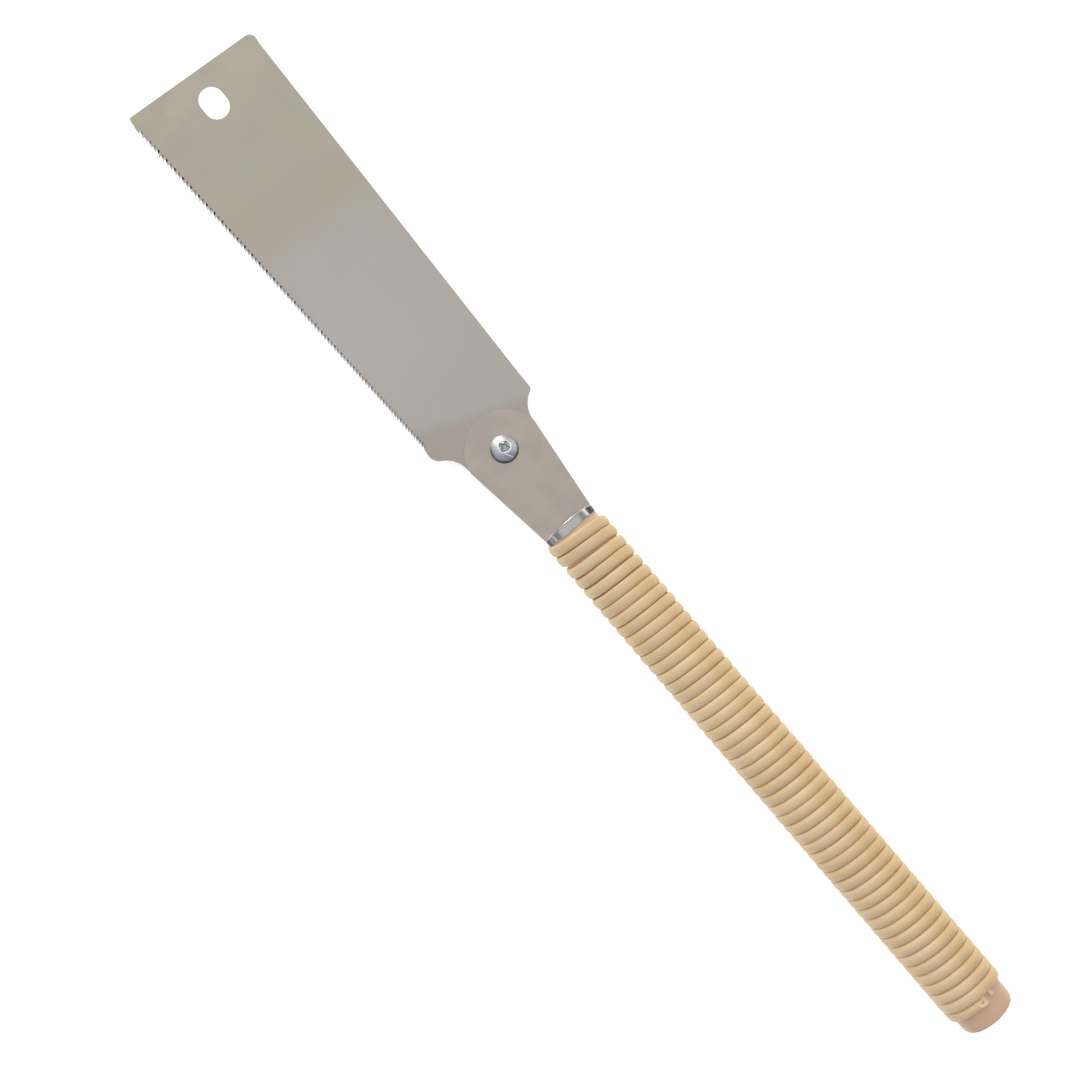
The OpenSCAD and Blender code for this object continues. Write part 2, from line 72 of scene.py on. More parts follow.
# %% [markdown]
# The saw is seen from straight above. The camera could be placed by eye, but a straight view
# shows every millimetre of error, so its height, turn and angle were fitted until the tip, the
# screw and the butt fell where they should. The handle then runs to the lower right.

# %% camera
CAMERA_PLACE = SCREW + Vector((38.4 * mm, -13.1 * mm, 530 * mm))
CAMERA_TURN = math.radians(49.82)
VIEW_ANGLE = math.radians(46.04)
NEAREST = 10 * mm

camera_data = bpy.data.cameras.new("camera")
camera_data.angle = VIEW_ANGLE
camera_data.clip_start = NEAREST
camera = bpy.data.objects.new("camera", camera_data)
camera.matrix_world = Matrix.Translation(CAMERA_PLACE) @ Matrix.Rotation(CAMERA_TURN, 4, "Z")
bpy.context.scene.collection.objects.link(camera)
bpy.context.scene.camera = camera
print("camera", [round(v, 4) for v in CAMERA_PLACE], "lens", round(camera_data.lens, 2))

# %% [markdown]
# Bare steel shows what it mirrors, so it is lit by large soft panels and not by small lamps.
# The wide overhead panel is what the flat blade reflects, which keeps it even in tone. The key
# is low and beyond the blade's tip: it lights each turn of the cane on the side toward the tip
# and leaves the other side in soft shade. Two weak panels open up the long sides, and a dim
# pale ceiling all round fills the rest. Each panel has a place, a size and a power.

# %% light
PANELS = {
    "overhead": ((-0.3, 0, 1.6), (2.7, 1.5), 8.4),
    "key": ((-3.0, 0.2, 1.4), (1.4, 1.6), 50),
    "back": ((0.2, 1.3, 0.6), (1.0, 0.4), 2.4),
    "front": ((0.1, -1.3, 0.6), (1.0, 0.4), 0.4),
}
CEILING_COLOUR = (0.96, 0.98, 1.0, 1)
CEILING_STRENGTH = 0.42


def panel(name, place, size, power):
    """A soft rectangular light that faces the middle of the saw."""
    data = bpy.data.lights.new(name, "AREA")
    data.shape = "RECTANGLE"
    data.size, data.size_y = size
    data.energy = power
    light = bpy.data.objects.new(name, data)
    light.location = place
    light.rotation_euler = (-Vector(place)).to_track_quat("-Z", "Y").to_euler()
    bpy.context.scene.collection.objects.link(light)


for name, (place, size, power) in PANELS.items():
    panel(name, place, size, power)

ceiling = bpy.data.worlds.new("ceiling")
ceiling.use_nodes = True
background = ceiling.node_tree.nodes["Background"]
background.inputs["Color"].default_value = CEILING_COLOUR
background.inputs["Strength"].default_value = CEILING_STRENGTH
bpy.context.scene.world = ceiling
bpy.context.scene.view_settings.view_transform = "Standard"
print("panels:", ", ".join(PANELS))

# %% [markdown]
# A material in Blender is a graph of nodes. Built node by node its idea is hard to see, so two
# small classes let it be read as a formula. A Field is one output of a node. Arithmetic on it
# adds Math nodes, so 1 - mask and 0.6 * grain + 0.4 * clouds work as they are written, while
# colours are blended by mix, because a Math node would turn them grey.

# %% fields
class Field:
    """An output of a node, used in formulas as a value, a colour or a vector."""

    def __init__(self, surface, socket):
        self.surface, self.socket = surface, socket

    def math(self, operation, *values):
        return self.surface.node("ShaderNodeMath", {"operation": operation}, dict(enumerate(values)))

    def __add__(self, other):
        return self.math("ADD", self, other)

    def __radd__(self, other):
        return self.math("ADD", other, self)

    def __sub__(self, other):
        return self.math("SUBTRACT", self, other)

    def __rsub__(self, other):
        return self.math("SUBTRACT", other, self)

    def __mul__(self, other):
        return self.math("MULTIPLY", self, other)

    def __rmul__(self, other):
        return self.math("MULTIPLY", other, self)

    def __pow__(self, other):
        return self.math("POWER", self, other)

    def __abs__(self):
        return self.math("ABSOLUTE", self)

    def fract(self):
        return self.math("FRACT", self)

    def at_most(self, limit):
        return self.math("MINIMUM", self, limit)

    def part(self, axis):
        """The X, Y or Z of a vector."""
        return self.surface.node("ShaderNodeSeparateXYZ", {}, {0: self}, axis)

    def step(self, low, high, bottom=0.0, top=1.0):
        """Climbs smoothly from bottom to top while this value goes from low to high."""
        inputs = {"Value": self, "From Min": low, "From Max": high, "To Min": bottom, "To Max": top}
        return self.surface.node("ShaderNodeMapRange", {"interpolation_type": "SMOOTHSTEP"}, inputs)

    def noise(self, waves, detail, rough):
        """Cloudy noise, with about so many waves to a metre, or to a unit, along X, Y and Z."""
        scaled = self.surface.node("ShaderNodeVectorMath", {"operation": "MULTIPLY"}, {0: self, 1: waves})
        inputs = {"Vector": scaled, "Scale": 1, "Detail": detail, "Roughness": rough}
        return self.surface.node("ShaderNodeTexNoise", {}, inputs)

    def mix(self, low, high):
        """Blends two colours: low where this value is 0, high where it is 1."""
        return self.surface.node("ShaderNodeMix", {"data_type": "RGBA"}, {0: self, 6: low, 7: high}, 2)


# %% [markdown]
# A Surface is the material itself. Its one method, node, makes every node of the lesson: the
# settings come first, because they can change which sockets a node shows, and then each input
# gets a value or a link. What is the same all over the surface is set on the shader's own
# socket, and only what varies is linked.

# %% surfaces
class Surface:
    """One procedural material round a Principled shader."""

    def __init__(self, name, **constants):
        self.material = bpy.data.materials.new(name)
        self.material.use_nodes = True
        self.tree = self.material.node_tree
        self.shader = self.tree.nodes["Principled BSDF"]
        self.feed(**constants)

    def plug(self, socket, value):
        if isinstance(value, Field):
            self.tree.links.new(value.socket, socket)
        else:
            socket.default_value = (*value, 1) if socket.type == "RGBA" else value

    def node(self, kind, settings, inputs, output=0):
        made = self.tree.nodes.new(kind)
        for name, value in settings.items():
            setattr(made, name, value)
        for name, value in inputs.items():
            self.plug(made.inputs[name], value)
        return Field(self, made.outputs[output])

    def place(self):
        return self.node("ShaderNodeTexCoord", {}, {}, "Object")

    def attribute(self, name):
        return self.node("ShaderNodeAttribute", {"attribute_name": name}, {}, "Vector")

    def feed(self, **values):
        for name, value in values.items():
            self.plug(self.shader.inputs[name.replace("_", " ")], value)

    def bump(self, height, depth, strength):
        inputs = {"Strength": strength, "Distance": depth, "Height": height}
        self.feed(Normal=self.node("ShaderNodeBump", {}, inputs))

    def done(self):
        print(self.material.name, "has", len(self.tree.nodes), "nodes")
        return self.material


# %% [markdown]
# Every new piece ends in the same way, so one helper does it. It turns the faces outwards,
# makes a mesh and an object of the bmesh, and lets the object ride on one of the frame's
# bodies, so that it moves with the joints.

# %% from a bmesh to an object
def make_object(name, bm, material, body=None, smooth=True):
    mesh = bpy.data.meshes.new(name)
    bmesh.ops.recalc_face_normals(bm, faces=bm.faces)
    bm.to_mesh(mesh)
    bm.free()
    mesh.materials.append(material)
    if smooth:
        mesh.shade_smooth()
    made = bpy.data.objects.new(name, mesh)
    bpy.context.scene.collection.objects.link(made)
    if body:
        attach(made, body)
    print(name + ":", len(mesh.polygons), "faces")
    return made


# %% [markdown]
# The saw lies on a plain pale table. A sheet that is only lit turns grey away from the lamps,
# so this one also glows a little, as a photographer's light table does.

# %% floor
FLOOR_REACH = 8


def floor_paint():
    s = Surface("floor_paint", Roughness=0.85, Emission_Color=(1.0, 1.0, 1.0), Emission_Strength=0.55)
    speck = s.place().noise((30, 30, 30), 3, 0.5)
    s.feed(Base_Color=speck.mix((0.95, 0.95, 0.95), (0.97, 0.97, 0.97)))
    return s.done()


bm = bmesh.new()
bmesh.ops.create_grid(bm, x_segments=4, y_segments=4, size=FLOOR_REACH)
floor = make_object("floor", bm, floor_paint())

# %% [markdown]
# The handle isn't round but oval, so that the hand feels which way the blade faces. An ellipse
# would do, yet its offset isn't an ellipse, and the cane and the ferrule lie at an even height
# over the wood. So the oval is made of four arcs: a point on it is found from the direction of
# its normal, and an outline further out is the same formula with a larger rise.

# %% the oval
FERRULE_FRONT = 39.4 * mm
FERRULE_END = 43.9 * mm
BUTT = 310.88 * mm
CORE_FRONT = 11.8 * mm
CORE_BUTT = 12.4 * mm
CORE_HEIGHT = 8.75 * mm
CORE_SIDE = 7.6 * mm
CORE_MEAN = (CORE_FRONT + CORE_BUTT) / 2
ARCH = ((CORE_MEAN - CORE_SIDE) ** 2 + CORE_HEIGHT ** 2 - CORE_SIDE ** 2) / (2 * (CORE_HEIGHT - CORE_SIDE))
ARCH_DROP = ARCH - CORE_HEIGHT
TURN_POINT = math.atan2(ARCH_DROP, CORE_MEAN - CORE_SIDE)


def core_half(x):
    """Half the core's width at x behind the screw: it widens toward the butt."""
    share = (x - FERRULE_END) / (BUTT - FERRULE_END)
    return CORE_FRONT + (CORE_BUTT - CORE_FRONT) * share


def on_core(angle, x, rise):
    """The point of the oval at x behind the screw whose normal has this angle from +Y to +Z."""
    c, s = math.cos(angle), math.sin(angle)
    side = math.copysign(1, c)
    narrow = abs(c) > math.cos(TURN_POINT)
    y = side * (core_half(x) - CORE_MEAN + (CORE_MEAN - CORE_SIDE if narrow else 0))
    z = 0 if narrow else -math.copysign(ARCH_DROP, s)
    reach = (CORE_SIDE if narrow else ARCH) + rise
    return Vector((x, y + reach * c, z + reach * s))


print("oval: side arc", round(CORE_SIDE / mm, 2), "mm, top arc", round(ARCH / mm, 2), "mm")

# %% [markdown]
# The core, the cane and the ferrule are all tubes through rings of points. Their faces could
# be listed by hand, but it is safer to bend a grid: each row of the grid is laid on one ring,
# the two long edges are welded, and the open ends are filled.

# %% a skin over rings
def skin(bm, rings):
    """Lays a grid over rings of points of equal length, closes it to a tube and fills its ends."""
    columns = len(rings[0])
    made = bmesh.ops.create_grid(bm, x_segments=columns, y_segments=len(rings) - 1, size=1)["verts"]
    rows = [made[k * (columns + 1):(k + 1) * (columns + 1)] for k in range(len(rings))]
    for row, ring in zip(rows, rings):
        for vert, place in zip(row, ring + ring[:1]):
            vert.co = place
    bmesh.ops.weld_verts(bm, targetmap={row[-1]: row[0] for row in rows})
    ends = [edge for edge in bm.edges if edge.is_boundary]
    bmesh.ops.holes_fill(bm, edges=ends, sides=0)
    return [row[:-1] for row in rows]


# %% [markdown]
# The core is a pinkish wood, sanded smooth and sealed. A picture of wood would smear on the
# rounded butt, so the grain is noise in the object's own space, stretched along the handle:
# slow clouds carry the colour and short dark pores lie in it. A thin coat is the sealer.

# %% core wood
def core_wood():
    s = Surface("core_wood", Coat_Weight=0.2, Coat_Roughness=0.3)
    place = s.place()
    grain = place.noise((70, 900, 900), 4, 0.6)
    pores = place.noise((260, 2600, 2600), 2, 0.5).step(0.64, 0.78)
    clouds = place.noise((50, 90, 90), 3, 0.5)
    pink = (0.35 * grain + 0.65 * clouds).mix((0.67, 0.432, 0.293), (0.75, 0.487, 0.333))
    s.feed(Base_Color=(0.4 * pores).mix(pink, (0.34, 0.2, 0.13)), Roughness=0.4 + 0.15 * grain)
    s.bump(grain - 0.6 * pores, 0.02 * mm, 0.4)
    return s.done()


# %% [markdown]
# The core is seen beside the ferrule and at the butt, which is rounded over in a large and
# then a small radius and swells very slightly in the middle. A bevel can't change its radius
# on the way, so the rounding is made of rings that draw in along a quarter circle.

# %% handle core
CORE_POINTS = 96
CORE_ANGLES = [2 * math.pi * i / CORE_POINTS for i in range(CORE_POINTS)]
CORE_START = FERRULE_FRONT + 1 * mm
CORE_STEPS = 40
BUTT_STEPS = 24
BUTT_ROUND = 3.6 * mm
BUTT_EDGE = 1.1 * mm
BUTT_DOME = 0.3 * mm
DOME_SHARES = (0.8, 0.55, 0.3, 0.1)


def butt_ring(turn):
    """The ring of the rounded butt at this part of a quarter turn."""
    x = BUTT - BUTT_DOME - BUTT_ROUND * (1 - math.sin(turn))
    edge = max(0, (x - BUTT + BUTT_DOME + BUTT_EDGE) / BUTT_EDGE)
    edge = BUTT_EDGE * (1 - math.sqrt(1 - min(edge, 1) ** 2))
    narrow = 1 - (BUTT_ROUND - BUTT_EDGE) * (1 - math.cos(turn)) / core_half(x)
    return [Vector((p.x, p.y * narrow, p.z)) for p in (on_core(a, x, -edge) for a in CORE_ANGLES)]


def core_rings():
    run = BUTT - BUTT_DOME - BUTT_ROUND - CORE_START
    straight = [CORE_START + i * run / CORE_STEPS for i in range(CORE_STEPS + 1)]
    rings = [[on_core(a, x, 0) for a in CORE_ANGLES] for x in straight]
    rings += [butt_ring(i / BUTT_STEPS * math.pi / 2) for i in range(1, BUTT_STEPS + 1)]
    last = rings[-1]
    middle = Vector((BUTT - BUTT_DOME, 0, 0))
    for share in DOME_SHARES:
        dome = BUTT_DOME * (1 - share ** 2)
        rings.append([middle + (p - middle) * share + Vector((dome, 0, 0)) for p in last])
    return rings


bm = bmesh.new()
skin(bm, core_rings())
bm.transform(HANDLE)
core = make_object("core", bm, core_wood(), "handle")
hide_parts("handle_core")

# %% [markdown]
# Split cane keeps its smooth natural skin outside. It is straw-coloured with blotches of pink,
# each turn has a tone of its own, and it is yellower toward the blade's back. Along the crest
# of the handle the straw is painted lighter, a painted highlight where the light falls most, and
# the split edges are painted browner, partly their own colour and partly painted shade in the
# grooves between the turns. Its fibres have to follow the winding, which noise in space can't
# do, so the mesh carries two attributes: lie, which holds where a point is along and across the
# cane, and tone, the tone of its turn.

# %% cane
def cane():
    s = Surface("cane", Coat_Weight=0.2, Coat_Roughness=0.3)
    lie, place = s.attribute("lie"), s.place()
    turn_tone = s.attribute("tone").part("X")
    fibres = lie.noise((60, 22, 1), 3, 0.6)
    streaks = lie.noise((14, 5, 1), 3, 0.55)
    blotch = lie.noise((45, 1.2, 1), 3, 0.5)
    flecks = lie.noise((240, 40, 1), 2, 0.5).step(0.68, 0.78)
    side, behind = place.part("Y"), place.part("X") - SCREW.x
    # painted highlight: the straw is lighter along the crest of the handle, where the light falls most,
    # and less so near the ferrule
    crest_highlight = abs(side).step(11 * mm, 3 * mm) * behind.step(50 * mm, 85 * mm, 0.3, 1.0)
    mottle = 0.2 * fibres + 0.3 * streaks + 0.5 * turn_tone
    plain_straw = mottle.mix((0.635, 0.44, 0.225), (0.8, 0.61, 0.365))
    lit_straw = mottle.mix((0.7, 0.485, 0.25), (0.88, 0.67, 0.4))
    pink = blotch.step(0.45, 0.65, 0.0, 0.55)
    straw = pink.mix(crest_highlight.mix(plain_straw, lit_straw), (0.76, 0.52, 0.36))
    # yellower and a little darker toward the blade's back side of the handle
    back_side_yellow = (side + blotch * (10 * mm)).step(7 * mm, 17 * mm, 0.0, 0.55)
    skin_colour = (0.25 * flecks).mix(back_side_yellow.mix(straw, (0.73, 0.485, 0.205)), (0.4, 0.25, 0.12))
    # the split edges are browner: partly their own colour, partly painted shade in the grooves between
    # turns
    edge = abs(lie.part("Y")).step(0.78, 1.02)
    s.feed(Base_Color=(0.55 * edge).mix(skin_colour, (0.64, 0.42, 0.17)),
           Roughness=0.38 + 0.14 * fibres + 0.15 * edge)
    s.bump(0.6 * fibres + 0.4 * streaks, 0.035 * mm, 0.5)
    return s.done()


# %% [markdown]
# The cane is one unbroken length. It starts against the ferrule at the toothed side, climbs
# over the front face, and goes round 49.3 times. A curve with a bevel would twist on the oval,
# so the place of every ring is worked out from its turn: an even pitch, the few gaps of the
# first loose turns, and a little wobble that is the same on every run.

# %% the path of the cane
TURNS = 49.295
START_ANGLE = math.radians(186)
START = 45.87 * mm
PITCH = 5.123 * mm
FIRST_GAPS = (0.25 * mm, 1.15 * mm, 0.2 * mm, 0.5 * mm, 0.3 * mm)
LEAN_MORE = 1.5 * mm
LEAN_TURNS = 3


def smooth(value):
    """Climbs smoothly from 0 to 1 while the value does."""
    value = min(max(value, 0), 1)
    return value * value * (3 - 2 * value)


def wander(turn, seed):
    """A smooth wobble of about one unit, the same on every run."""
    return sum(math.sin(turn * w + seed * k) for w, k in ((2.13, 1.7), (3.71, 2.3), (5.17, 4.1))) / 2


def cane_place(turn):
    """How far behind the screw the cane's middle lies after so many turns."""
    loose = sum(gap * smooth(2 * (turn - n) - 1) for n, gap in enumerate(FIRST_GAPS))
    lean = LEAN_MORE / 2 * (1 - smooth((turn - 0.5) / LEAN_TURNS))
    return START + PITCH * turn + loose - lean * (math.cos(2 * math.pi * turn) - 0.6)


print("winding: from", round(cane_place(0) / mm, 1), "to", round(cane_place(TURNS) / mm, 1), "mm")

# %% [markdown]
# Split cane is flat below and domed above. Near the ferrule it is pulled flatter, and toward
# the butt it is plumper, apart from the two sides of the oval, where the pull flattens it
# again. The dome is a half ellipse whose sine and cosine get powers below one, which makes it
# as square as wanted. The last turn thins out, and where the saw rests the cane is cut flat.

# %% the outline of the cane
CANE_WIDTH = 5.22 * mm
CANE_RISE = 2.17 * mm
SECTION = 17
PLUMP_FROM = 4
PLUMP_TO = 34
PLUMP_WIDER = 0.03
SIDE_COSINE = 0.6
SIDE_WIDER = 0.05
SIDE_FLATTER = 1.6
WOBBLE_PLACE = 0.05 * mm
WOBBLE_RISE = 0.015
WOBBLE_WIDTH = 0.01
END_TURN = 0.45
END_THINNER = 0.25
END_NARROWER = 0.24
CUT_ANGLE = math.radians(12.5)
CUT_TURN = 0.06
PRESSED_IN = 0.05 * mm
REST = -SCREW.z


def cane_section(plump):
    """Points across the cane: sideways from -1 to 1, and up from 0 to 1. Plump cane is rounder."""
    points = []
    for i in range(SECTION):
        angle = math.pi * (1 - i / (SECTION - 1))
        across = abs(math.cos(angle)) ** (0.8 + 0.15 * plump)
        up = abs(math.sin(angle)) ** (0.6 + 0.2 * plump)
        points.append((math.copysign(across, math.cos(angle)), up))
    return points


def cane_ring(turn):
    """The cane's outline after so many turns, and where each of its points lies on the cane."""
    start = START_ANGLE - 2 * math.pi * turn
    last = smooth((turn - TURNS) / END_TURN + 1)
    plump = smooth((turn - PLUMP_FROM) / (PLUMP_TO - PLUMP_FROM))
    side = plump * smooth((abs(math.cos(start)) - SIDE_COSINE) / (1 - SIDE_COSINE))
    rise = CANE_RISE * (1 + WOBBLE_RISE * wander(turn, 2.0)) * (1 - END_THINNER * last)
    wider = 1 + WOBBLE_WIDTH * wander(turn, 3.0) + PLUMP_WIDER * plump + SIDE_WIDER * side
    width = CANE_WIDTH * wider * (1 - END_NARROWER * last)
    x = cane_place(turn) + WOBBLE_PLACE * wander(turn, 1.0) - (CANE_WIDTH - width) / 2 * last
    cut = CUT_ANGLE * smooth((turn - TURNS) / CUT_TURN + 1)
    ring, marks = [], []
    for across, up in cane_section(plump - SIDE_FLATTER * side):
        p = on_core(start + cut * up, x, up * rise - PRESSED_IN)
        p.x += across * width / 2
        p.z = max(p.z, REST)
        ring.append(p)
        marks.append((turn, across, 1))
    return ring, marks


print("cane:", CANE_WIDTH / mm, "mm wide,", CANE_RISE / mm, "mm thick,", SECTION, "points across")

# %% [markdown]
# Where the cane is cut across, its pale inner wood shows, with a dark pith in the middle. The
# pith could be a piece of its own, but the third part of lie already says how far a point is
# from that middle, so a colour does it.

# %% cut cane
def cane_cut(name, light, dark):
    s = Surface(name, Roughness=0.6)
    pores = s.place().noise((3500, 3500, 3500), 2, 0.5)
    pith = s.attribute("lie").part("Z").step(0.36, 0.14)
    s.feed(Base_Color=(0.8 * pith).mix((0.3 * pores).mix(light, dark), (0.42, 0.24, 0.12)))
    s.bump(pores, 0.04 * mm, 0.5)
    return s.done()


# %% [markdown]
# The winding is then a skin over some 3,550 rings. Its cut end is drawn in by five smaller
# rings, each sunk a little, which get the second material. Each turn takes its tone from a
# seeded list and passes over to the next one under the handle, where no change is seen.

# %% cane winding
STEPS = 72
CANE_A_TURN = 75 * mm
CUT_RINGS = (0.9, 0.7, 0.5, 0.3, 0.12)
CUT_SUNK = 0.12 * mm

random.seed(7)
# one tone for each turn and a few to spare
TONES = [random.random() for _ in range(60)]


def tone_of(turn):
    place = turn + 0.25
    whole = int(place)
    blend = smooth((place - whole - 0.85) / 0.15)
    return TONES[whole] * (1 - blend) + TONES[whole + 1] * blend


def shrunk(outline, reach):
    """The outline of the cut end drawn in toward its middle, and sunk a little."""
    middle = sum(outline, Vector()) / len(outline)
    normal = (outline[SECTION // 2] - middle).cross(outline[-1] - outline[0]).normalized()
    sink = normal * CUT_SUNK * (1 if normal.y < 0 else -1)
    return [middle + (p - middle) * reach + sink * (1 - reach) for p in outline]


def winding():
    bm = bmesh.new()
    lie = bm.verts.layers.float_vector.new("lie")
    tone = bm.verts.layers.float_vector.new("tone")
    rings, marks = [], []
    for turn in [k / STEPS for k in range(int(TURNS * STEPS) + 1)] + [TURNS]:
        ring, lies = cane_ring(turn)
        rings.append(ring)
        marks += lies
    end = len(rings) - 1
    for reach in CUT_RINGS:
        rings.append(shrunk(rings[end], reach))
        marks += [(0, 0, reach)] * SECTION
    rows = skin(bm, rings)
    for vert, (turn, across, reach) in zip((v for row in rows for v in row), marks):
        vert[lie] = (turn * CANE_A_TURN, across, reach)
        vert[tone] = (tone_of(turn), 0, 0)
    cut = {vert for row in rows[end:] for vert in row}
    for face in bm.faces:
        if cut.issuperset(face.verts):
            face.material_index = 1
    bm.transform(HANDLE)
    return bm


wrap = make_object("cane_winding", winding(), cane(), "handle")
wrap.data.materials.append(cane_cut("cane_cut", (0.88, 0.67, 0.48), (0.64, 0.44, 0.28)))
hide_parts("cane_wrap")

# %% [markdown]
# A narrow strip of cane runs under the winding and locks its end. Only its pale cut end stands
# out of the wood, beside the end of the winding. The whole strip could be drawn, but nothing
# more of it is ever seen, so a box with worn edges is laid on the slope of the oval.

# %% locking strip
STRIP_SIZE = (2.9 * mm, 1.8 * mm, 1.3 * mm)
STRIP_WORN = 0.28 * mm
STRIP_PLACE = (299.6 * mm, 5.7 * mm, 0.25 * mm)
STRIP_SLOPE = math.asin(5.9 * mm / ARCH)
STRIP_TILT = math.radians(4)


def on_top(x, y, rise):
    """A point over the core's upper arch, y from the middle toward the blade's back."""
    return on_core(math.acos(y / (ARCH + rise)), x, rise)


def strip():
    bm = bmesh.new()
    lie = bm.verts.layers.float_vector.new("lie")
    bmesh.ops.create_cube(bm, size=1)
    bmesh.ops.scale(bm, vec=STRIP_SIZE, verts=bm.verts)
    bmesh.ops.bevel(bm, geom=list(bm.edges), offset=STRIP_WORN, segments=3, profile=0.5, material=-1,
                    affect="EDGES")
    for vert in bm.verts:
        vert[lie] = (0, 0, 1)
    turned = Matrix.Rotation(-STRIP_SLOPE, 4, "X") @ Matrix.Rotation(STRIP_TILT, 4, "Y")
    bm.transform(HANDLE @ Matrix.Translation(on_top(*STRIP_PLACE)) @ turned)
    return bm


strip_cut = cane_cut("strip_cut", (0.84, 0.62, 0.47), (0.6, 0.42, 0.3))
nub = make_object("cane_strip", strip(), strip_cut, "handle")
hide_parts("cane_tail")

# %% [markdown]
# The ferrule is thin polished metal, a little dented. Polished metal is nearly all reflection,
# and the panels and the ceiling round it are even, so its colour does the rest: darker where it
# turns down at both ends of the oval, a bright line along one side, and bright beads along both
# edges. More lamps could draw these too, but the blade would mirror them as well.

# %% ferrule metal
BOW = 1.2 * mm
DARK_METAL = (0.05, 0.05, 0.055)
LINE_METAL = (0.72, 0.77, 0.79)
BEAD_METAL = (0.9, 0.89, 0.87)


def ferrule_metal():
    s = Surface("ferrule_metal", Metallic=1.0)
    place = s.place()
    dents = place.noise((120, 160, 160), 3, 0.5)
    fine = place.noise((1500, 300, 300), 3, 0.6)
    across, behind = place.part("Y"), place.part("X") - SCREW.x
    side = across + (dents - 0.5) * (1.5 * mm)
    end = abs(side).step(0.74 * CORE_FRONT, 0.9 * CORE_FRONT)
    line = abs(side + 0.68 * CORE_FRONT).step(0.7 * mm, 0.1 * mm)
    face = (0.8 * line).mix(dents.mix((0.34, 0.34, 0.325), (0.5, 0.49, 0.465)), LINE_METAL)
    front = behind - (across * (1 / CORE_FRONT)) ** 2 * BOW - FERRULE_FRONT
    bead = front.step(0.5 * mm, 0.25 * mm) + behind.step(FERRULE_END - 0.45 * mm, FERRULE_END - 0.2 * mm)
    bright = 0.85 * bead * end.step(0, 1, 1.0, 0.25)
    s.feed(Base_Color=bright.mix(end.mix(face, DARK_METAL), BEAD_METAL),
           Roughness=0.16 + 0.1 * dents + 0.06 * fine)
    s.bump(dents, 0.12 * mm, 0.5)
    return s.done()


# %% [markdown]
# The ferrule is a short oval band. Its front is bowed toward the blade, and both edges are
# rolled in to a fine bead. A bevel would round the edges but raise no bead, so the bead and
# the roll are a bump and a drop in the height of the rings near the edges. The first and the
# last rings turn in under the band.

# %% ferrule
FERRULE_RISE = 0.36 * mm
BAND_STEPS = 30
BEAD_HEIGHT = 0.1 * mm
BEAD_PLACE, BEAD_WIDTH = 0.075, 0.045
ROLL_DEPTH = 0.4 * mm
ROLL_WIDTH = 0.055
UNDER_FRONT = ((0.12, -1.8 * mm), (0.05, -0.6 * mm))
UNDER_REAR = (0.97, -0.7 * mm)


def ferrule_ring(share, rise):
    """A ring of the band: share 0 is the bowed front edge and 1 the rear edge."""
    ring = []
    for angle in CORE_ANGLES:
        p = on_core(angle, FERRULE_END, rise)
        p.x = FERRULE_FRONT + BOW * (p.y / CORE_FRONT) ** 2
        p.x += (FERRULE_END - p.x) * share
        ring.append(p)
    return ring


def ferrule_rings():
    rings = [ferrule_ring(share, rise) for share, rise in UNDER_FRONT]
    for i in range(BAND_STEPS + 1):
        share = i / BAND_STEPS
        edge = min(share, 1 - share)
        bead = BEAD_HEIGHT * math.exp(-((edge - BEAD_PLACE) / BEAD_WIDTH) ** 2)
        roll = ROLL_DEPTH * max(0, 1 - edge / ROLL_WIDTH) ** 2
        rings.append(ferrule_ring(share, FERRULE_RISE + bead - roll))
    return rings + [ferrule_ring(*UNDER_REAR)]


bm = bmesh.new()
skin(bm, ferrule_rings())
bm.transform(HANDLE)
cap = make_object("ferrule_cap", bm, ferrule_metal(), "handle")
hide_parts("ferrule")

# %% [markdown]
# The screw's head has been driven many times. Its cross recess is battered and sits a little
# off the middle, the metal round it is pushed up to a pale lip, and the driver once slipped
# out and left a scratch. Colour and shape have to meet, so both read the same few values.

# %% the marks of the driver
RECESS = Vector((-0.7 * mm, 0.6 * mm))
LIP = 2.75 * mm
SLIP = Vector((0.876, 0.481))
SLIP_OFFSET = 1.92 * mm
# a direction across the head; the painted highlight and the painted shades of the head are laid along it
# and across it
PAINTED_LIGHT_WAY = Vector((0.645, 0.764))


def along_slip(x, y):
    """How far a point lies along the scratch, for numbers and for fields."""
    return SLIP.x * x + SLIP.y * y


def beside_slip(x, y):
    """How far a point lies beside the scratch, for numbers and for fields."""
    return SLIP.x * y - SLIP.y * x + SLIP_OFFSET


print("recess", [round(v / mm, 2) for v in RECESS], "mm off the screw's axis")
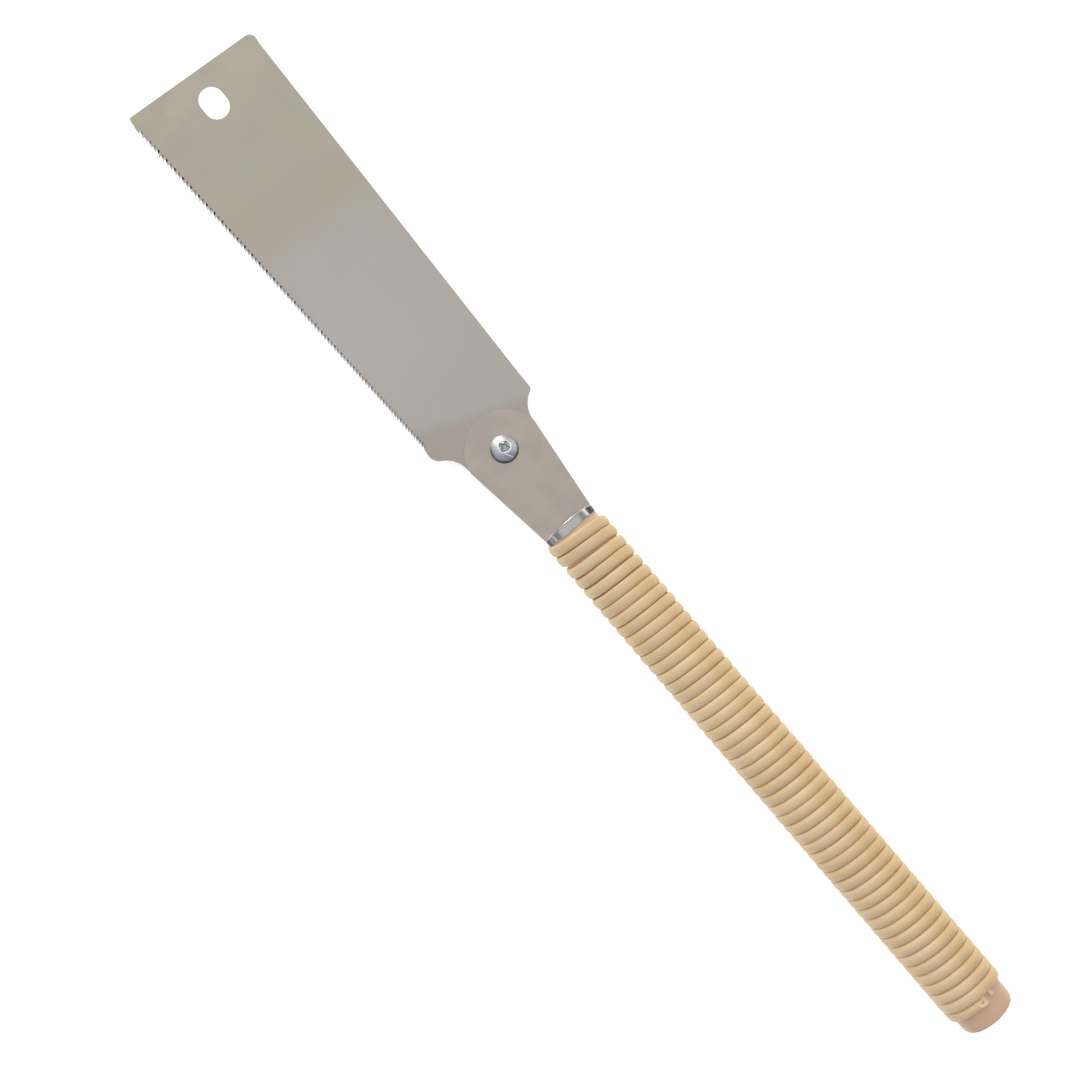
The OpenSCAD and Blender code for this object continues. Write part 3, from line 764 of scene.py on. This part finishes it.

# %% [markdown]
# The head is zinc plated: a silvery film, with a painted blue shade on the side toward the
# handle and a painted pale highlight, a crescent, on the side toward the tip, where the key light
# stands. The lip and the scratch are bare and bright, the recess is dull, and a painted shade
# darkens the rim, most on the sides toward the handle and the teeth. A painted picture could hold
# all this, but masks worked out from a point's place on the head need none and stay sharp at any
# size. They are laid over the plain film one after another, as glazes are.

# %% zinc of the head
def head_zinc():
    s = Surface("head_zinc", Metallic=1.0)
    place = s.place()
    x, y = place.part("X") - SCREW.x, place.part("Y") - SCREW.y
    film = place.noise((420, 420, 420), 4, 0.6)
    right, down = PAINTED_LIGHT_WAY.x * x + PAINTED_LIGHT_WAY.y * y, PAINTED_LIGHT_WAY.y * x - PAINTED_LIGHT_WAY.x * y
    plain = film.mix((0.5, 0.53, 0.54), (0.72, 0.75, 0.76))
    # painted blue shade on the side toward the handle, away from the key light
    blue_shade = (0.75 * down.step(0.3 * mm, 2.6 * mm)).mix(plain, (0.4, 0.42, 0.56))
    # painted highlight: a pale crescent on the side toward the tip, where the key light stands
    crescent_highlight = (0.45 * right + 0.89 * down).step(-1.2 * mm, -3.4 * mm)
    pale = (0.9 * crescent_highlight).mix(blue_shade, (0.66, 0.67, 0.63))
    inner = ((x - RECESS.x) ** 2 + (y - RECESS.y) ** 2) ** 0.5
    lip = (0.8 * abs(inner - LIP).step(0.5 * mm, 0.15 * mm)).mix(pale, (0.92, 0.95, 0.94))
    bowl = (0.9 * inner.step(2.5 * mm, 2.1 * mm)).mix(lip, (0.4, 0.46, 0.43))
    scratch = abs(beside_slip(x, y)).step(0.42 * mm, 0.12 * mm)
    scratch = scratch * abs(along_slip(x, y) - 3 * mm).step(2.2 * mm, 1.7 * mm)
    bare = (0.85 * scratch).mix(bowl, (0.93, 0.95, 0.9))
    # painted shade: the rim is darkened, most on the sides toward the handle and the teeth, away from the
    # light
    shade = (0.8 * right + 0.6 * down).step(-1 * mm, 3.5 * mm, 0.25, 0.9)
    shade = shade + (down - 0.9 * right).step(3.5 * mm, 6 * mm, 0.0, 0.6)
    rim = ((x ** 2 + y ** 2) ** 0.5 + film * (0.9 * mm)).step(5.1 * mm, 6.2 * mm)
    s.feed(Base_Color=(shade * rim).at_most(0.92).mix(bare, (0.1, 0.1, 0.1)),
           Roughness=0.36 + 0.2 * film)
    s.bump(film, 0.05 * mm, 0.5)
    return s.done()


# %% [markdown]
# The recess is pressed into a fine round dome. Cutting it with a boolean would leave long
# thin faces, so the points of the dome are moved instead: down in the cross and in the worn
# bowl round its middle, up on the lip and along the scratch.

# %% relief of the head
CROSS_TURN = math.radians(28)
CROSS_LONG = 2.5 * mm
CROSS_WIDE = 0.68 * mm
CROSS_DEEP = 0.95 * mm
BOWL_DEEP = 0.35 * mm
SWIRL_HIGH = 0.1 * mm
LIP_HIGH = 0.2 * mm
SCRATCH_HIGH = 0.16 * mm


def wing(u, v):
    """How far inside one slot of the cross a point lies, 0 outside and 1 well inside."""
    return smooth((CROSS_LONG - abs(u)) / (0.35 * mm)) * smooth((CROSS_WIDE - abs(v)) / (0.3 * mm))


def head_relief(x, y):
    """What the driver has pressed in and pushed up at a point of the head."""
    u, v = x - RECESS.x, y - RECESS.y
    reach, bearing = math.hypot(u, v), math.atan2(v, u)
    c, s = math.cos(CROSS_TURN), math.sin(CROSS_TURN)
    a, b = u * c + v * s, v * c - u * s
    cross = max(wing(a, b), wing(b, a))
    bowl = smooth((1.5 * mm - reach) / (0.9 * mm))
    swirl = math.sin(bearing * 2 + reach / (0.42 * mm)) * smooth((2.6 * mm - reach) / (0.8 * mm))
    arc = 0.5 + 0.5 * math.cos(bearing + math.radians(40))
    lip = math.exp(-((reach - LIP) / (0.2 * mm)) ** 2) * (0.35 + 0.65 * arc ** 2)
    scratch = math.exp(-(beside_slip(x, y) / (0.22 * mm)) ** 2)
    scratch *= smooth((along_slip(x, y) - 0.9 * mm) / (0.8 * mm))
    scratch *= smooth((5.3 * mm - math.hypot(x, y)) / (1 * mm))
    raised = SWIRL_HIGH * swirl * (1 - cross) + LIP_HIGH * lip + SCRATCH_HIGH * scratch
    return raised - CROSS_DEEP * cross - BOWL_DEEP * bowl


# %% [markdown]
# The screw is a turned part, so it is made as on a lathe: half of its outline is drawn as a
# row of points and spun once round its axis. The outline holds the domed truss head, the seat
# under it, and a shank whose thread is a run of shallow grooves.

# %% clamp screw
HEAD = 5.95 * mm
HEAD_RIM = 0.5 * mm
DOME = 1.9 * mm
DOME_STEPS = 60
DOME_SPACING = 0.85
PLATE_TOP = 1.58 * mm
SHANK = 2.5 * mm
SHANK_LOW = -5.35 * mm
GROOVES = 38
GROOVE_DEPTH = 0.07 * mm
SPIN_STEPS = 160
MERGED = 0.002 * mm


def screw_profile():
    """Pairs of radius and height, from the top of the dome to the end of the shank."""
    ball = (HEAD ** 2 + DOME ** 2) / (2 * DOME)
    profile = []
    for i in range(DOME_STEPS):
        radius = HEAD * math.sin(i / (DOME_STEPS - 1) * math.pi / 2) ** DOME_SPACING
        height = PLATE_TOP + HEAD_RIM + DOME - ball + math.sqrt(ball ** 2 - radius ** 2)
        profile.append((radius, height))
    profile += [(HEAD, PLATE_TOP + HEAD_RIM * 0.6), (HEAD - 0.1 * mm, PLATE_TOP + 0.06 * mm),
                (HEAD - 0.3 * mm, PLATE_TOP), (SHANK + 0.2 * mm, PLATE_TOP), (SHANK, PLATE_TOP - 0.2 * mm)]
    thread_top, thread_low = PLATE_TOP - 0.3 * mm, SHANK_LOW + 0.5 * mm
    for i in range(GROOVES + 1):
        height = thread_top + (thread_low - thread_top) * i / GROOVES
        profile.append((SHANK - GROOVE_DEPTH * (i % 2), height))
    return profile + [(SHANK - 0.45 * mm, SHANK_LOW), (0, SHANK_LOW)]


def screw_body():
    bm = bmesh.new()
    row = [bm.verts.new((r, 0, z)) for r, z in screw_profile()]
    edges = [bm.edges.new(pair) for pair in zip(row, row[1:])]
    bmesh.ops.spin(bm, geom=row + edges, axis=(0, 0, 1), cent=(0, 0, 0), steps=SPIN_STEPS,
                   angle=2 * math.pi, use_merge=True)
    bmesh.ops.remove_doubles(bm, verts=bm.verts, dist=MERGED)
    for vert in bm.verts:
        if vert.co.z > PLATE_TOP + HEAD_RIM * 0.9:
            vert.co.z += head_relief(vert.co.x, vert.co.y)
    bm.transform(HANDLE)
    return bm


screw = make_object("truss_screw", screw_body(), head_zinc(), "screw")
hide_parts("clamp_screw")

# %% [markdown]
# Each gullet between the teeth was filed from one side of the blade, and the next one from the
# other side. The root of each gullet lies in shade, so a painted dark shadow marks it, and every
# second one is painted weaker, as the filed sides alternate. The pitch grows finer toward the
# heel, which rules out a plain repeating pattern. So a formula turns the place along the edge
# into the number of the tooth, and the marks repeat with the whole of that number.

# %% where the teeth are
TOOTH_START = SCREW.x - 199.0 * mm
TOOTH_END = SCREW.x - 21.1 * mm
TOOTH_RUN = TOOTH_END - TOOTH_START
TIP_LINE = -31.7 * mm
HEEL_LINE = -25.7 * mm
TOOTH_SLOPE = (HEEL_LINE - TIP_LINE) / TOOTH_RUN
TOOTH_COUNT = 84
PITCH_SHARE = 0.236


def tooth_field(place):
    """The number of the tooth at a place along the edge, and the height above its points."""
    along, across = place.part("X") - TOOTH_START, place.part("Y")
    height = across - along * TOOTH_SLOPE - TIP_LINE
    root = ((1 + PITCH_SHARE) ** 2 - along * (4 * PITCH_SHARE / TOOTH_RUN)) ** 0.5
    number = (1 + PITCH_SHARE - root) * (TOOTH_COUNT / (2 * PITCH_SHARE))
    return number, height


def tooth_marks(place):
    """Three masks along the edge: the painted dark shadows at the gullet roots, the filed strip, and the
    painted pale highlight on the tooth points.
    """
    number, height = tooth_field(place)
    along = place.part("X")
    row = along.step(TOOTH_START - 0.5 * mm, TOOTH_START) * along.step(TOOTH_END, TOOTH_END - 1 * mm)
    slant = number.fract() + (height - 1.05 * mm) * (0.14 / mm)
    # painted shadow: a dark slanted mark in the root of each gullet, weaker on every second tooth and
    # toward the heel
    root_shadow = abs(slant - 0.3).step(0.3, 0.14) * abs(height - 1.1 * mm).step(0.85 * mm, 0.45 * mm)
    second = (number * 0.5).fract().step(0.49, 0.51, 1.0, 0.55)
    fade = along.step(TOOTH_START + 0.3 * TOOTH_RUN, TOOTH_START + 0.9 * TOOTH_RUN, 1.0, 0.6)
    fade = fade * along.step(TOOTH_START + 4 * mm, TOOTH_START + 10 * mm, 0.5, 1.0)
    filed = height.step(2.1 * mm, 1.5 * mm) * row
    # painted highlight: the points of the teeth are painted pale
    points = height.step(1.1 * mm, 0.7 * mm) * row
    return root_shadow * second * fade * row, filed, points


print("teeth:", TOOTH_COUNT, "over", round(TOOTH_RUN / mm, 1), "mm")

# %% [markdown]
# The blade is ground and polished spring steel. From the tip to about its middle it keeps a
# warm film, olive with rosy clouds, then comes a narrow reddish band, and then bare grey steel
# that is duller again beside the holder. Reflections alone can't show that, because the panel
# above is even, so the tones are colours: each zone is a smooth step along the blade, drifting
# with slow clouds so that no border is straight.

# %% tones of the blade
TIP_ZONE = (-216 * mm, -262 * mm)
BROWN_ZONE = (-214 * mm, -186 * mm)
FILM_TO_GREY = (-169 * mm, -151 * mm)
BAND = -149 * mm
HEEL_ZONE = (SCREW.x - 66 * mm, SCREW.x - 24 * mm)
HOLDER_ZONE = (-19.5 * mm, -13 * mm)


def blade_film(along, place, clouds, grind):
    olive = (0.75 * clouds + 0.25 * grind).mix((0.412, 0.378, 0.3), (0.442, 0.409, 0.331))
    rosy = place.noise((26, 34, 34), 3, 0.6).step(0.4, 0.6)
    film = rosy.mix(olive, (0.435, 0.383, 0.328))
    film = along.step(*TIP_ZONE).mix(film, (0.48, 0.43, 0.345))
    return along.step(*BROWN_ZONE, 0.0, 0.85).mix(film, (0.414, 0.366, 0.306))


def blade_grey(along, across, clouds, grind):
    flank = across.step(-25 * mm, 22 * mm)
    low = flank.mix((0.404, 0.385, 0.363), (0.388, 0.368, 0.332))
    high = flank.mix((0.44, 0.421, 0.4), (0.424, 0.403, 0.366))
    grey = (0.7 * clouds + 0.3 * grind).mix(low, high)
    return along.step(*HEEL_ZONE, 0.0, 0.6).mix(grey, (0.386, 0.368, 0.34))


def blade_tone(place, clouds, grind):
    along, across = place.part("X"), place.part("Y")
    drift = along + clouds * (20 * mm)
    film = blade_film(along, place, clouds, grind)
    tone = drift.step(*FILM_TO_GREY).mix(film, blade_grey(along, across, clouds, grind))
    tone = (0.45 * abs(drift - BAND).step(15 * mm, 4 * mm)).mix(tone, (0.43, 0.375, 0.347))
    blush = place.noise((55, 70, 70), 3, 0.6).step(0.42, 0.62, 0.0, 0.45)
    tone = blush.mix(tone, (0.418, 0.374, 0.34))
    near = along - across * 0.44 + clouds * (6 * mm) - SCREW.x
    beside_holder = (0.5 * clouds + 0.5 * grind).mix((0.358, 0.318, 0.28), (0.39, 0.348, 0.308))
    return near.step(*HOLDER_ZONE).mix(tone, beside_holder)


# %% [markdown]
# Over these tones lie the painted pale highlight on the points of the teeth, where their bevels
# mirror the pale surroundings, and the painted dark shadows at the gullet roots. The grinding
# marks run across the blade, so their noise has thousands of waves a metre along it and few
# across. They also drive the roughness and a bump of a few thousandths of a millimetre.

# %% blade steel
def blade_steel():
    s = Surface("blade_steel", Metallic=1.0)
    place = s.place()
    along = place.part("X")
    grind = place.noise((2600, 90, 90), 3, 0.6)
    clouds = place.noise((14, 22, 22), 3, 0.55)
    smudge = place.noise((60, 45, 60), 4, 0.6)
    root_shadows, filed, points = tooth_marks(place)
    # the colour of the painted highlight on the tooth points, bluer toward the tip
    pale = along.step(TOOTH_START + 0.5 * TOOTH_RUN, TOOTH_END).mix((0.55, 0.61, 0.68), (0.46, 0.47, 0.51))
    toothed = (0.9 * points).mix(blade_tone(place, clouds, grind), pale)
    s.feed(Base_Color=root_shadows.mix(toothed, (0.035, 0.033, 0.03)),
           Roughness=0.24 + 0.06 * grind + 0.06 * smudge + 0.06 * filed)
    s.bump(grind, 0.004 * mm, 0.5)
    return s.done()


# %% [markdown]
# The holder's plates were tumbled in a drum of stones, which leaves steel with a soft satin
# and no direction. So the noise is equally fine in all three axes, over faint brown blotches.

# %% plate steel
def plate_steel():
    s = Surface("plate_steel", Metallic=1.0)
    place = s.place()
    grain = place.noise((900, 900, 900), 3, 0.65)
    clouds = place.noise((45, 60, 60), 4, 0.6)
    blotches = place.noise((70, 80, 80), 3, 0.55).step(0.38, 0.62)
    s.feed(Base_Color=(0.55 * blotches + 0.45 * grain).mix((0.384, 0.344, 0.307), (0.438, 0.379, 0.331)),
           Roughness=0.26 + 0.1 * clouds + 0.04 * grain)
    s.bump(grain, 0.01 * mm, 0.4)
    return s.done()


# %% [markdown]
# A stamped plate has no knife edge: tumbling takes its corners off. The frame's plate is a
# loose set of triangles with sharp edges, and it may not be changed, so a copy is made. The
# copy's doubles are merged and its flat faces joined, and then only the edges that turn by
# more than 60 degrees get a tiny bevel.

# %% holder plates
PLATE_WORN = 0.05 * mm
SAME_POINT = 0.001 * mm
FLAT_ANGLE = math.radians(1)
SHARP_ANGLE = math.radians(60)


def worn_copy(node, name, material):
    bm = bmesh.new()
    bm.from_mesh(nodes[node].data)
    bmesh.ops.remove_doubles(bm, verts=bm.verts, dist=SAME_POINT)
    bmesh.ops.dissolve_limit(bm, angle_limit=FLAT_ANGLE, verts=bm.verts, edges=bm.edges)
    sharp = [e for e in bm.edges if len(e.link_faces) == 2 and e.calc_face_angle() > SHARP_ANGLE]
    bmesh.ops.bevel(bm, geom=sharp, offset=PLATE_WORN, segments=3, profile=0.5, material=-1,
                    affect="EDGES")
    made = make_object(name, bm, material, "handle", smooth=False)
    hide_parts(node)


satin = plate_steel()
worn_copy("holder_front_plate", "front_plate", satin)
worn_copy("holder_back_plate", "back_plate", satin)

# %% [markdown]
# The spacer, the rivets and the pins are hidden in the holder and the handle, and the nut sits
# on the back plate. Their solids already have the right shape, so they only get materials: a
# plain rolled steel, and the same zinc plating as the screw's but without its wear.

# %% plain steel and zinc
def plain_steel():
    s = Surface("plain_steel", Metallic=1.0)
    grain = s.place().noise((700, 700, 700), 3, 0.6)
    s.feed(Base_Color=grain.mix((0.42, 0.41, 0.39), (0.58, 0.57, 0.55)), Roughness=0.35 + 0.15 * grain)
    return s.done()


def zinc():
    s = Surface("zinc", Metallic=1.0)
    place = s.place()
    film = place.noise((260, 260, 260), 4, 0.6)
    scuffs = place.noise((900, 2400, 900), 3, 0.7)
    s.feed(Base_Color=film.mix((0.7, 0.71, 0.76), (0.9, 0.92, 0.94)),
           Roughness=0.2 + 0.14 * film + 0.1 * scuffs)
    s.bump(0.6 * film + 0.4 * scuffs, 0.05 * mm, 0.5)
    return s.done()


def dress(node, material):
    """Gives a solid of the frame a material. Its mesh and its place stay as they are."""
    mesh = nodes[node].data
    mesh.materials.clear()
    mesh.materials.append(material)
    print(node, "gets", material.name)


plain = plain_steel()
dress("saw_blade", blade_steel())
dress("holder_spacer", plain)
dress("holder_rivets", plain)
dress("handle_pins", plain)
dress("clamp_nut", zinc())
